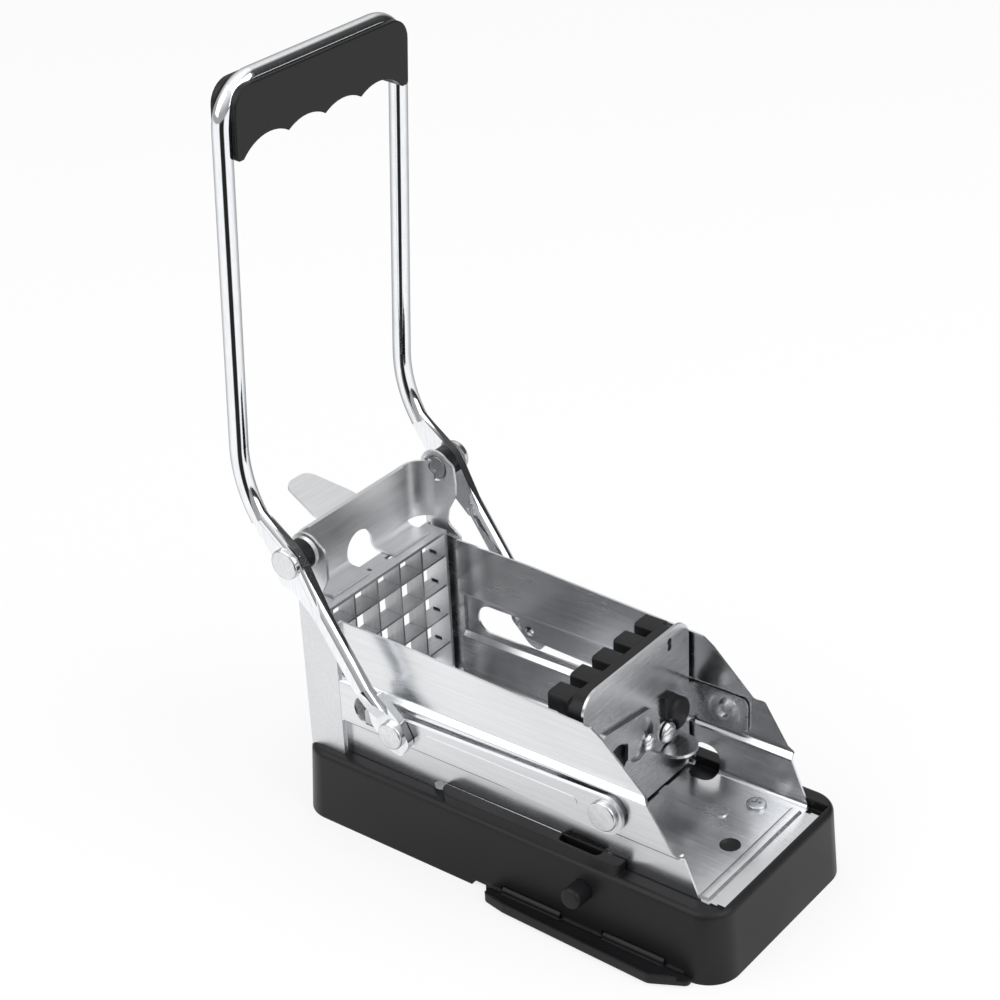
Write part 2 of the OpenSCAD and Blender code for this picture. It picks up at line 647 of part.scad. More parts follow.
module blade_frame() {
    color("#dcdddf")
    difference() {
        union() {
            // Floor, roof and side walls
            translate([cassette_x0, -cassette_half, floor_z])
                cube([cassette_x1 - cassette_x0, 2 * cassette_half, cassette_t]);
            translate([cassette_x0, -cassette_half, cassette_top_z - cassette_t])
                cube([cassette_x1 - cassette_x0, 2 * cassette_half, cassette_t]);
            sides() {
                translate([cassette_x0, grid_half, floor_z])
                    cube([cassette_x1 - cassette_x0, cassette_t, cassette_top_z - floor_z]);
                // Flange that locates the cassette between the walls
                translate([cassette_x0, grid_half, floor_z])
                    cube([1, lap_in_y - seat_gap - grid_half, cassette_top_z - floor_z]);
            }
        }
        // Slots for the blades' tabs
        sides() for (i = [0 : cells - 2])
            translate([blade_back_x + 1, grid_half - over, first_z + i * pitch - 1.2])
                cube([3.4, cassette_t + 2 * over, 2.4]);
        for (i = [0 : cells - 2])
            translate([blade_back_x + 2, -grid_half + (i + 1) * pitch - comb_t / 2, floor_z - over])
                cube([4, comb_t, cassette_t + 2 * over]);
        // Two small slots in the roof
        for (y = [-1, 1])
            translate([blade_x - 5.6, y * pitch / 2 - 2, cassette_top_z - cassette_t - over])
                cube([2, 4, cassette_t + 2 * over]);
        // Holes for the screws' heads, clear of the cassette's floor
        for (p = screw_spots)
            translate([p[0], p[1], floor_z - over]) cylinder(h = cassette_t + 2 * over, d = screw_head_d + 1);
    }
}

// Upright blades, slit from their rear edge to pass the level ones
module vertical_blades() {
    color("#eceded")
    for (i = [1 : cells - 1])
        translate([0, -grid_half + i * pitch, 0]) difference() {
            union() {
                translate([blade_back_x, -blade_t / 2, floor_z + cassette_t])
                    cube([blade_depth, blade_t, blade_top_z - floor_z - cassette_t]);
                translate([blade_back_x + 2.2, -blade_t / 2, floor_z + 0.1]) cube([3.6, blade_t, cassette_t]);
            }
            for (k = [0 : cells - 2])
                translate([blade_back_x - over, -blade_t, first_z + k * pitch - comb_t / 2])
                    cube([blade_depth / 2 + over, 2 * blade_t, comb_t]);
        }
}

// Level blades, slit from their front edge, with tabs in the cassette's sides
module horizontal_blades() {
    color("#eceded")
    for (k = [0 : cells - 2])
        translate([0, 0, first_z + k * pitch]) difference() {
            union() {
                translate([blade_back_x, -grid_half, -blade_t / 2]) cube([blade_depth, 2 * grid_half, blade_t]);
                translate([blade_back_x + 1.4, -cassette_half, -blade_t / 2])
                    cube([2.6, 2 * cassette_half, blade_t]);
            }
            for (i = [1 : cells - 1])
                translate([blade_back_x + blade_depth / 2, -grid_half + i * pitch - comb_t / 2, -blade_t])
                    cube([blade_depth / 2 + over, comb_t, 2 * blade_t]);
        }
}

module pivot_rivets() {
    head_d = pivot_d * 1.93;
    color("#d0d1d3")
    sides() {
        head_y(pivot_x, pivot_z, pivot_head_y, 2.3, head_d);
        pin_y(pivot_x, pivot_z, lap_y + 0.2, pivot_head_y + 0.2, pivot_d);
        // Rolled end inside the ear's boss
        translate([pivot_x, lap_y + 0.9, pivot_z]) rotate([90, 0, 0]) difference() {
            cylinder(h = 0.8, d = pivot_d + 2.4);
            cylinder(h = 1, d = pivot_d - 3);
        }
    }
}

module pivot_spacers() {
    color("#2a2a2c")
    sides() difference() {
        pin_y(pivot_x, pivot_z, boss_y, pivot_flat_y - touch, pivot_d + 5.4);
        pin_y(pivot_x, pivot_z, boss_y - over, pivot_flat_y + over, pivot_d);
    }
}

// Handle frame: the loop's top, the legs' straight and bent stretches, the pressed pivot flats and the levers
top_x = pivot_x - handle_back;
top_z = pivot_z + handle_rise;
upper_angle = 30.25;                        // slope of the rod just above the pivot, from straight down
rod_miss = 4.97;                            // how far that slope passes behind the pivot
leg_dir = [-sin(leg_lean), -cos(leg_lean)];
upper_dir = [sin(upper_angle), -cos(upper_angle)];
upper_normal = [cos(upper_angle), sin(upper_angle)];
pivot_pt = [pivot_x, pivot_z];
upper_foot = pivot_pt - rod_miss * upper_normal;
top_pt = [top_x, top_z];
gap_v = upper_foot - top_pt;
leg_len = (gap_v[0] * upper_dir[1] - gap_v[1] * upper_dir[0])
    / (leg_dir[0] * upper_dir[1] - leg_dir[1] * upper_dir[0]);
bend_corner = top_pt + leg_len * leg_dir;
bend_turn = leg_lean + upper_angle;
bend_cut = bend_above * tan(bend_turn / 2);
bend_start = bend_corner - bend_cut * leg_dir;
bend_end = bend_corner + bend_cut * upper_dir;
bend_lap = 0.6;                             // angle by which the bend enters its neighbours
bend_mid = bend_start + bend_above * [cos(leg_lean), -sin(leg_lean)];
lever_dir = [sin(lever_angle), -cos(lever_angle)];
lever_normal = [cos(lever_angle), sin(lever_angle)];
lever_pt = [lever_x, slot_z];
lever_jog = 19;                             // length over which the lever is drawn in to the link bar
inset = 0.05;                               // how far the rod's pressed faces lie inside the flats' faces
bead_d = 4.6;
// Outlines [ahead of the lever's line, down along it, r] of the pressed flats at both ends of the lever
pivot_flat = [
    [-6.6, -15.2, 2], [-7, -4.3, 6], [-10.4, 6.6, 1.3], [-6.5, 9.4, 1.5], [-3.3, 22.9, 2], [2.5, 24, 2],
    [5.2, 4, 8], [5.2, -2, 8], [-0.6, -18, 1.5]
];
lever_flat = [
    [-3.3, -15.5, 1], [-7.3, -6, 4], [-5.2, 5, 4], [-2.1, 8.9, 2.5], [5.1, 5.8, 3.5], [6.4, -3, 5],
    [3.2, -15.5, 1]
];
bead_line = [[-3, -20], [2.9, 0], [0.8, 18]];
function on_lever(from, c) = [
    for (q = c) let (p = from + q[0] * lever_normal + q[1] * lever_dir) [p[0], p[1], q[2]]
];

// A stretch of rod that starts at a point of the XZ plane and is pressed flat: its faces follow the
// outline [y, distance from the start]
module pressed(from, dir, faces) {
    translate([from[0], 0, from[1]]) rotate([0, 90 - atan2(dir[1], dir[0]), 0]) intersection() {
        union() children();
        rotate([90, 0, 90]) linear_extrude(40, center = true) polygon(faces);
    }
}

module handle_side() {
    rod_r = rod_d / 2;
    room = rod_r + 0.2;
    upper_len = (upper_foot - bend_end) * upper_dir;
    jog_at = lever_len - lever_jog;
    jog_y = leg_y - lever_flat_y - lever_flat_t / 2;
    in0 = pivot_flat_y + inset;
    in1 = pivot_flat_y + pivot_flat_t - inset;
    end0 = lever_flat_y + inset;
    end1 = lever_flat_y + lever_flat_t - inset;
    bead = [for (p = on_lever(pivot_pt, bead_line)) [p[0], leg_y, p[1]]];
    difference() {
        union() {
            // Bend, a hair thinner than the rod where it enters the straight stretches
            translate([bend_mid[0], leg_y, bend_mid[1]]) rotate([90, 0, 0])
                rotate([0, 0, 180 - leg_lean - bend_lap]) rotate_extrude(angle = bend_turn + 2 * bend_lap, $fn = 96)
                    translate([bend_above, 0]) circle(d = rod_d - 0.04, $fn = 48);
            // Pressed stretch above the pivot
            pressed(bend_end, upper_dir, [
                [leg_y - room, -1], [leg_y + room, -1], [leg_y + room, 1], [in1, upper_len - 17],
                [in1, upper_len], [in0, upper_len], [in0, upper_len - 17], [leg_y - room, 1]
            ])
                translate([0, leg_y, 0]) cylinder(h = upper_len - 11, r = rod_r);
            across(pivot_flat_y, pivot_flat_y + pivot_flat_t)
                polygon(rounded(on_lever(pivot_pt, pivot_flat), 5));
            // Bead along the flat's front edge
            intersection() {
                union() {
                    rod(bead[0], bead[1] + 0.5 * unit(bead[1] - bead[0]), bead_d);
                    rod(bead[1] + 0.5 * unit(bead[1] - bead[2]), bead[2], bead_d);
                }
                across(pivot_flat_y + inset, leg_y + rod_d)
                    polygon([for (q = on_lever(pivot_pt, [[-20, -30, 0], [20, -30, 0], [20, 30, 0], [-20, 30, 0]]))
                        [q[0], q[1]]]);
            }
            // Lever, round between its pressed ends and drawn in towards the link bar
            pressed(pivot_pt, lever_dir, [
                [in0, 8], [in1, 8], [in1, 15], [leg_y + room, 26], [leg_y + room, lever_len],
                [leg_y - room, lever_len], [leg_y - room, 26], [in0, 15]
            ])
                translate([0, leg_y, 10]) cylinder(h = jog_at - 10, r = rod_r);
            pressed(pivot_pt, lever_dir, [
                [leg_y - room, jog_at - 2], [leg_y + room, jog_at - 2], [leg_y + room, jog_at + 2],
                [end1, lever_len - 7], [end1, lever_len + 1], [end0, lever_len + 1],
                [end0, lever_len - 9], [leg_y - room, jog_at + 1]
            ])
                translate([0, leg_y, jog_at]) rotate([atan(jog_y / lever_jog), 0, 0])
                    translate([0, 0, -0.6]) cylinder(h = lever_jog - 1, r = rod_r - 0.15);
            across(lever_flat_y, lever_flat_y + lever_flat_t)
                polygon(rounded(on_lever(lever_pt, lever_flat), 5));
        }
        pin_y(pivot_x, pivot_z, leg_y - rod_d, leg_y + rod_d, pivot_d + 2 * run);
        pin_y(lever_x, slot_z, leg_y - 2 * rod_d, leg_y + rod_d, link_pin_d);
    }
}

module lean() {
    translate([top_x, 0, top_z]) rotate([0, leg_lean, 0]) children();
}

module handle_frame() {
    color("#dfe1e4") {
        sides() handle_side();
        lean() {
            pin_y(0, 0, -(leg_y - corner_r), leg_y - corner_r, rod_d);
            sides() {
                translate([0, leg_y - corner_r, -corner_r]) rotate([0, -90, 0])
                    rotate_extrude(angle = 90, $fn = 96) translate([corner_r, 0]) circle(d = rod_d, $fn = 48);
                translate([0, leg_y, -(leg_len - bend_cut)])
                    cylinder(h = leg_len - bend_cut - corner_r, d = rod_d, $fn = 48);
            }
        }
    }
}

// Grip: finger scallops along its lower edge and a groove around it for the rod
module grip() {
    scallop_w = 2 * (grip_half - 6.6) / scallops;
    scallop_r = scallop_w * 0.93;
    scallop_deep = scallop_r - sqrt(scallop_r * scallop_r - scallop_w * scallop_w / 4);
    cusp_z = -grip_h + grip_leg;
    color("#1a1a1c")
    lean() difference() {
        translate([-grip_t / 2, 0, 0]) along(0, grip_t) difference() {
            polygon(rounded([
                [-grip_half, 0.6, grip_corner], [-grip_half, -grip_h, 1.2], [-grip_half + 5, -grip_h, 2],
                [-grip_half + 6.6, cusp_z, 0], [grip_half - 6.6, cusp_z, 0], [grip_half - 5, -grip_h, 2],
                [grip_half, -grip_h, 1.2], [grip_half, 0.6, grip_corner]
            ]));
            for (i = [0 : scallops - 1])
                translate([(i + 0.5 - scallops / 2) * scallop_w, cusp_z + scallop_deep - scallop_r])
                    circle(r = scallop_r, $fn = 96);
        }
        // Groove for the rod
        pin_y(0, 0, -(leg_y - corner_r), leg_y - corner_r, rod_d + 2 * seat_gap);
        sides() {
            translate([0, leg_y - corner_r, -corner_r]) rotate([0, -90, 0])
                rotate_extrude(angle = 90, $fn = 96) translate([corner_r, 0])
                    circle(d = rod_d + 2 * seat_gap, $fn = 48);
            translate([0, leg_y, -grip_h - over]) cylinder(h = grip_h + over - corner_r, d = rod_d + 2 * seat_gap);
        }
    }
}

module lever_rivets() {
    color("#d0d1d3")
    sides() {
        head_y(lever_x, slot_z, lever_flat_y + lever_flat_t, 2, link_pin_d * 2.6);
        pin_y(lever_x, slot_z, lever_flat_y, lever_flat_y + lever_flat_t + 0.2, link_pin_d);
    }
}

// A link bar on the +Y side
module link_bar() {
    rear_r = link_rear_w / 2;
    front_r = link_w / 2;
    rear = [lever_x, slot_z + 0.9];
    front = [slide_rest_x, slot_z];
    // Outline between both ends, along their common tangents
    slant = asin((front_r - rear_r) / norm(front - rear));
    fall = atan2(front[1] - rear[1], front[0] - rear[0]);
    up = [cos(fall + 90 + slant), sin(fall + 90 + slant)];
    down = [cos(fall - 90 - slant), sin(fall - 90 - slant)];
    color("#c4c6c9")
    difference() {
        union() {
            pin_y(rear[0], rear[1], link_y, link_out_y, link_rear_w);
            pin_y(front[0], front[1], link_y, link_out_y, link_w);
            across(link_y, link_out_y) polygon([
                rear + (rear_r - 0.01) * up, front + (front_r - 0.01) * up,
                front + (front_r - 0.01) * down, rear + (rear_r - 0.01) * down
            ]);
            slot_y(lever_x + 13, slide_rest_x - 13, slot_z + 0.4, link_w * 0.3, link_y, link_out_y + 0.15);
        }
        pin_y(lever_x, slot_z, link_y - over, link_out_y + over, link_pin_d + 2 * run);
        pin_y(slide_rest_x, slot_z, link_y - over, link_out_y + over, link_pin_d + 2 * run);
    }
}
module link_left() {
    link_bar();
}
module link_right() {
    mirror([0, 1, 0]) link_bar();
}

plate_half = in_y - 1.7;
plate_low_z = floor_z + 1.1;
block_low_z = floor_z + cassette_t + 0.5;   // clears the cassette's floor at the full stroke
runner_low_z = belt_low_z + 0.6;
runner_high_z = belt_high_z - 0.6;
dish_r = 6.9;
dish_t = 0.5;
// The black stud, the latch's pivot and the guide rivet, on the plate's front
stud_y = 22.2;
stud_z = slot_z + 1.5;
stud_d = 12.4;
latch_y = 15.5;
latch_z = slot_z - 2.5;
latch_room = 5.1;                           // radius that the stud leaves clear around the latch's pivot
guide_y = 4.2;
guide_z = slot_z - 0.3;
guide_d = 2.4;
window_y = -12.5;                           // round window in the plate, on the other side

module pusher_plate() {
    color("#b9babd")
    difference() {
        union() {
            along(plate_x, plate_x + plate_t) {
                polygon(rounded([
                    [-plate_half, plate_low_z, 2], [plate_half, plate_low_z, 2], [plate_half, wall_top_z + 1, 8],
                    [-plate_half, wall_top_z + 1, 8]
                ]));
                translate([-runner_y, runner_low_z])
                    square([2 * runner_y, runner_high_z - runner_low_z]);
            }
            // Runners, bent forward into the slotted belts
            sides() across(runner_y - plate_t, runner_y) polygon(rounded([
                [plate_x, runner_low_z, 0], [runner_x + runner_len, runner_low_z, 3],
                [runner_x + runner_len, runner_high_z, 3], [plate_x, runner_high_z, 0]
            ]));
        }
        sides() {
            pin_y(slide_rest_x, slot_z, runner_y - plate_t - over, runner_y + over, link_pin_d);
            // Dish around the slide rivet's rolled end
            translate([slide_rest_x, runner_y - plate_t - touch, slot_z]) rotate([-90, 0, 0])
                cylinder(h = dish_t + touch, r1 = dish_r, r2 = dish_r - 1.4);
        }
        pin_x(plate_x - over, runner_x + over, stud_y, stud_z, stud_d - 5);
        pin_x(plate_x - over, runner_x + over, window_y, slot_z + 1, 12);
        pin_x(plate_x - over, runner_x + over, latch_y, latch_z, latch_pin_d);
        pin_x(plate_x - over, runner_x + over, guide_y, guide_z, guide_d);
        // Small oval hole near the upper edge
        for (k = [-1.2, 1.2]) pin_x(plate_x - over, runner_x + over, 19.5, wall_top_z - 4.6 + k, 2.6);
    }
}

tooth_low_z = floor_z + pitch / 2;          // centre of the lowest row of teeth
cells_up = cells;
function tooth_z(k) = k < cells_up - 1 ? tooth_low_z + k * pitch : blade_top_z - 1 - tooth_h / 2;

// Toothed block: one tooth for each cell of the blade grid
module pusher_block() {
    color("#202022")
    difference() {
        union() {
            along(slab_x, plate_x) polygon(rounded([
                [-plate_half + 0.5, block_low_z, 1.5], [plate_half - 0.5, block_low_z, 1.5],
                [plate_half - 0.5, wall_top_z - 2, 7], [-plate_half + 0.5, wall_top_z - 2, 7]
            ]));
            for (i = [0 : cells - 1], k = [0 : cells_up - 1])
                translate([0, -grid_half + (i + 0.5) * pitch, tooth_z(k)]) along(tooth_x, slab_x)
                    polygon(rounded([
                        [-tooth_w / 2, -tooth_h / 2, 1.2], [tooth_w / 2, -tooth_h / 2, 1.2],
                        [tooth_w / 2, tooth_h / 2, 1.2], [-tooth_w / 2, tooth_h / 2, 1.2]
                    ], 3));
        }
        pin_x(plate_x - 4, plate_x + over, stud_y, stud_z, stud_d - 7);
        // Clearance for the rivets' ends behind the steel plate
        pin_x(plate_x - 1, plate_x + over, latch_y, latch_z, latch_pin_d + 2.4);
        pin_x(plate_x - 1, plate_x + over, guide_y, guide_z, guide_d + 2.4);
    }
}

// Stud that holds the block to the steel plate: a round knob on a flange with cut corners
module block_stud() {
    flange_t = 1.6;
    color("#161617") {
        difference() {
            union() {
                head_x(runner_x, stud_y, stud_z, 3, stud_d);
                along(runner_x, runner_x + flange_t) polygon([
                    [stud_y - 8.2, stud_z + 10.4], [stud_y - 7.8, stud_z + 2.4], [stud_y - 3, stud_z - 4],
                    [stud_y + 3, stud_z - 2], [stud_y + 3.6, stud_z + 4], [stud_y - 2.6, stud_z + 10.2]
                ]);
                pin_x(plate_x, runner_x + 0.2, stud_y, stud_z, stud_d - 5);
            }
            pin_x(runner_x - touch, runner_x + 4, latch_y, latch_z, 2 * latch_room);
        }
        pin_x(plate_x - 4, plate_x + 0.2, stud_y, stud_z, stud_d - 7);
    }
}

module slide_rivets() {
    color("#d0d1d3")
    sides() {
        head_y(slide_rest_x, slot_z, link_out_y + touch, 1.6, 11.2);
        pin_y(slide_rest_x, slot_z, runner_y - plate_t + dish_t - 0.2, link_out_y + 0.2, link_pin_d);
        // Collar that runs in the slot
        pin_y(slide_rest_x, slot_z, runner_y, link_y - touch, slot_w - 0.5);
        // Rolled end in the runner's dish
        translate([slide_rest_x, runner_y - plate_t + dish_t, slot_z]) rotate([90, 0, 0]) difference() {
            cylinder(h = 1.4, d = link_pin_d + 2.5);
            translate([0, 0, 0.3]) cylinder(h = 2, d = link_pin_d + 0.4);
        }
    }
}

// A rivet along X with a domed head, through the steel plate
module dome_rivet(y, z, x, h, d, pin_d) {
    color("#d0d1d3") {
        translate([x, y, z]) rotate([0, 90, 0]) rotate_extrude()
            polygon(concat([[0, 0]], [for (a = [0 : 15 : 90]) [d / 2 * cos(a), h * (0.2 + 0.8 * sin(a))]]));
        pin_x(plate_x - 0.4, x + 0.2, y, z, pin_d);
        pin_x(plate_x - 0.8, plate_x, y, z, pin_d + 1.6);
    }
}

module guide_rivet() {
    dome_rivet(guide_y, guide_z, runner_x + latch_t + 2 * touch, 2, 6.6, guide_d);
}
module latch_pivot() {
    dome_rivet(latch_y, latch_z, runner_x + latch_t + 2 * touch, 2.4, 8.2, latch_pin_d);
}

// Latch: a plate on the pivot rivet, with a curved slot for the guide rivet and a thumb tab folded forward
module latch_plate() {
    x0 = runner_x + touch;
    low_z = slot_z - 8.3;
    tab_y = latch_y + 1.1;
    tab_out = 4.9;
    slot_r = 5.8;
    slot_half = 2.5;
    slot_at = [guide_y - 5.4, guide_z + 4];
    color("#a7a8ab")
    difference() {
        union() {
            along(x0, x0 + latch_t) polygon(rounded([
                [guide_y - 27, guide_z + 11.8, 2.5], [guide_y - 18, guide_z + 10, 3],
                [guide_y - 12, guide_z + 6.2, 2], [guide_y - 12.6, guide_z - 1.4, 3],
                [guide_y - 5, guide_z - 6, 3.5], [tab_y - tab_r - 0.4, low_z, 0.8],
                [tab_y + tab_r + 0.4, low_z, 0.6], [tab_y + tab_r + 0.4, low_z + 1.4, 0.4],
                [latch_y + 4.2, latch_z - 3.4, 1], [latch_y + 4.2, latch_z + 3.2, 2.5],
                [latch_y - 2, latch_z + 5.2, 2], [latch_y - 4.2, latch_z + 5.2, 0.8],
                [guide_y + 6.5, guide_z + 8, 4], [guide_y + 1.7, guide_z + 13.1, 3],
                [guide_y - 27, guide_z + 17, 2.5]
            ], 5));
            translate([x0, tab_y - tab_r, low_z]) cube([tab_out, 2 * tab_r, latch_t]);
            translate([x0 + tab_out, tab_y, low_z]) cylinder(h = latch_t, r = tab_r);
        }
        pin_x(x0 - over, x0 + latch_t + over, latch_y, latch_z, latch_pin_d + 2 * run);
        // Slot around the guide rivet
        along(x0 - over, x0 + latch_t + over) polygon(concat(
            arc(slot_at, slot_r + slot_half, -120, 60, 16),
            arc(slot_at + slot_r * [cos(60), sin(60)], slot_half, 71, 229, 8),
            arc(slot_at, slot_r - slot_half, 60, -120, 12),
            arc(slot_at + slot_r * [cos(120), -sin(120)], slot_half, 71, 229, 8)
        ));
        // Behind the fold the tab is flush with the plate
        translate([x0 - 2 * tab_r, tab_y - 2 * tab_r, low_z - over]) cube([2 * tab_r, 4 * tab_r, 4]);
    }
}

pad_cup_d = 18;
stem_disc_d = 12;
stem_d = 5;
cup_floor_z = 5.2;
cup_top_z = 11;
cup_lip = 1.2;
lug_r = 1;
lug_reach = 4.5;
lug_angle = 38;
lift_arm_z = axle_z + lug_reach * sin(lug_angle) + lug_r + seat_gap;
lift_top_z = 14;
lift_t = 1.5;

// Suction pad: a rubber disc with a hollow underside and a cup that holds the stem's foot
module suction_pad() {
    r = pad_d / 2;
    color("#242426")
    rotate_extrude($fn = 96) polygon([
        [r, 0], [r, pad_rim_t], [r - 6, pad_rim_t], [pad_cup_d / 2, cup_floor_z], [pad_cup_d / 2, cup_top_z],
        [stem_d / 2 + 0.9, cup_top_z], [stem_d / 2 + 0.9, cup_top_z - cup_lip],
        [stem_disc_d / 2 + 0.5, cup_top_z - cup_lip], [stem_disc_d / 2 + 0.5, cup_floor_z], [0, cup_floor_z],
        [0, 2.2], [r - 12, 1.2], [r - 6, 0]
    ]);
}

module suction_stem() {
    top = lift_top_z + lift_t;
    color("#8f9093") {
        translate([0, 0, cup_top_z - cup_lip - seat_gap - 1.5]) cylinder(h = 1.5, d = stem_disc_d);
        translate([0, 0, cup_top_z - cup_lip - seat_gap - 0.5])
            cylinder(h = top - cup_top_z + cup_lip + seat_gap + 0.7, d = stem_d);
        translate([0, 0, top]) cylinder(h = 2, d = stem_d + 4);
    }
}

// Cranked plate that the suction lever's lug lifts
module lift_plate() {
    y0 = axle_y + 2.6;
    color("#9fa0a3")
    difference() {
        along(lift_x0, lift_x1) polygon([
            [y0, lift_arm_z], [y0 + 8, lift_arm_z], [y0 + 14, lift_top_z], [8, lift_top_z],
            [8, lift_top_z + lift_t], [y0 + 13, lift_top_z + lift_t], [y0 + 7, lift_arm_z + lift_t],
            [y0, lift_arm_z + lift_t]
        ]);
        // Clear of the axle's rail beside the window
        translate([lift_x0 - over, y0 - over, lift_arm_z - over])
            cube([windows[0] + 0.6 - lift_x0 + over, rail_in_y + 0.6 - y0 + over, lift_t + 2 * over]);
        translate([0, 0, lift_top_z - over]) cylinder(h = lift_t + 2 * over, d = stem_d);
    }
}

// The lever's outline seen from above, from its axle outwards
paddle_in_y = -base_half - 0.5;
paddle = [
    [paddle_x0, paddle_in_y, 0.8], [paddle_x0 + 3, paddle_in_y - 5.2, 3],
    [paddle_x0 + 12, paddle_in_y - paddle_reach + 2, 8], [paddle_x1 - 12, paddle_in_y - paddle_reach, 5],
    [paddle_x1, paddle_in_y - 2.5, 2], [paddle_x1, paddle_in_y, 0.8]
];

module suction_lever() {
    plate_z0 = 0.8;
    plate_z1 = 2.4;
    rim_z = 4.4;
    rim_w = 1.6;
    knuckle_d = 4.2;
    color("#1f1f21")
    difference() {
        union() {
            translate([0, 0, plate_z0]) linear_extrude(plate_z1 - plate_z0) polygon(rounded(paddle));
            // Raised rim, outside the sweep beside the wall
            translate([0, 0, plate_z0]) intersection() {
                linear_extrude(rim_z - plate_z0) difference() {
                    polygon(rounded(paddle));
                    polygon(rounded(shrunk(paddle, rim_w)));
                }
                translate([paddle_x0 - over, paddle_in_y - paddle_reach - over, 0])
                    cube([paddle_len + 2 * over, paddle_reach + over - 4.2, rim_z]);
            }
            for (x = windows) {
                pin_x(x + 0.5, x + window_len - 0.5, axle_y, axle_z, knuckle_d);
                translate([x + 0.5, paddle_in_y - 0.5, plate_z0])
                    cube([window_len - 1, axle_y - paddle_in_y + 0.5, plate_z1 - plate_z0]);
            }
            // Lug that lifts the plate
            translate([windows[0] + 2, axle_y, axle_z]) rotate([lug_angle, 0, 0]) {
                translate([0, 0, -lug_r]) cube([11, lug_reach, 2 * lug_r]);
                translate([0, lug_reach, 0]) rotate([0, 90, 0]) cylinder(h = 11, r = lug_r);
            }
        }
        for (x = windows)
            pin_x(x - over, x + window_len + over, axle_y, axle_z, axle_d + 2 * run);
    }
}

module lever_axle() {
    color("#b0b1b4")
    pin_x(paddle_x0 - 2, paddle_x0 + paddle_len - 4, axle_y, axle_z, axle_d);
}

base_tray();
chassis();
rear_housing();
thumb_tab();
floor_screws();
stop_peg();
blade_frame();
vertical_blades();
horizontal_blades();
pivot_rivets();
pivot_spacers();
handle_frame();
grip();
lever_rivets();
link_left();
link_right();
pusher_plate();
pusher_block();
block_stud();
slide_rivets();
guide_rivet();
latch_pivot();
latch_plate();
suction_pad();
suction_stem();
lift_plate();
suction_lever();
lever_axle();
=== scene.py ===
import json
import math

import bmesh
import bpy
from mathutils import Matrix, Vector


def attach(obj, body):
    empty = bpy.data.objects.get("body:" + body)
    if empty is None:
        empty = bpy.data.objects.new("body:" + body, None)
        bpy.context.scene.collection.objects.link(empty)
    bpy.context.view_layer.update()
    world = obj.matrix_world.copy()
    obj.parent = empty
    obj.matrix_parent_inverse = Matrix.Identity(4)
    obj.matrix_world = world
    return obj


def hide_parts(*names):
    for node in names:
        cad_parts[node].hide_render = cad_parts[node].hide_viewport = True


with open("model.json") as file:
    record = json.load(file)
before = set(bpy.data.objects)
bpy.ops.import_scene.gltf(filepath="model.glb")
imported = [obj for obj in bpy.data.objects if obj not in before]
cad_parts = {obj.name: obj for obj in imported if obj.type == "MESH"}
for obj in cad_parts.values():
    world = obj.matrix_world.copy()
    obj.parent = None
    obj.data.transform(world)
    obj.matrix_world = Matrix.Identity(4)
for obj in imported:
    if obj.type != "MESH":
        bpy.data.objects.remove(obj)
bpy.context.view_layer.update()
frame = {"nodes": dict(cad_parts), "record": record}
mm = 0.001


def linearColour(hexText):  # sRGB hex to the linear values that shaders take
    values = [int(hexText[i:i + 2], 16) / 255 for i in (1, 3, 5)]
    return [v / 12.92 if v <= 0.04045 else ((v + 0.055) / 1.055) ** 2.4 for v in values] + [1.0]


def addNode(tree, kind, settings=None, links=None):
    node = tree.nodes.new(kind)
    for key, value in (settings or {}).items():
        if isinstance(key, int) or key in node.inputs:
            node.inputs[key].default_value = value
        else:
            setattr(node, key, value)
    for key, socket in (links or {}).items():
        tree.links.new(socket, node.inputs[key])
    return node


def newMaterial(name):
    material = bpy.data.materials.new(name)
    material.use_nodes = True
    material.node_tree.nodes.clear()
    return material, material.node_tree


def finishMaterial(tree, shader):
    addNode(tree, "ShaderNodeOutputMaterial", links={"Surface": shader.outputs[0]})


def fillRamp(node, stops):  # stops are (position, linear colour)
    elements = node.color_ramp.elements
    while len(elements) < len(stops):
        elements.new(0.5)
    for element, (position, colour) in zip(elements, stops):
        element.position = position
        element.color = colour


def perMetre(size):  # a pattern's scale on Object coordinates, from the size of one grain or streak in millimetres
    return 1 / (size * mm)


def newObject(name, data):
    made = bpy.data.objects.new(name, data)
    bpy.context.scene.collection.objects.link(made)
    return made


def objectFrom(work, name):  # an object from a bmesh, which is freed
    mesh = bpy.data.meshes.new(name)
    work.to_mesh(mesh)
    work.free()
    return newObject(name, mesh)


# What all metals share: the noise's detail, its spread round the middle, the tint's stops, and bump depths in
# millimetres
metalPattern = {"streakDetail": 4.0, "streakRoughness": 0.6, "cloudDetail": 2.0, "cloudRoughness": 0.5,
                "spread": 0.3, "tintStops": (0.3, 0.65), "waveDepth": 0.2, "lineDepth": 0.02}


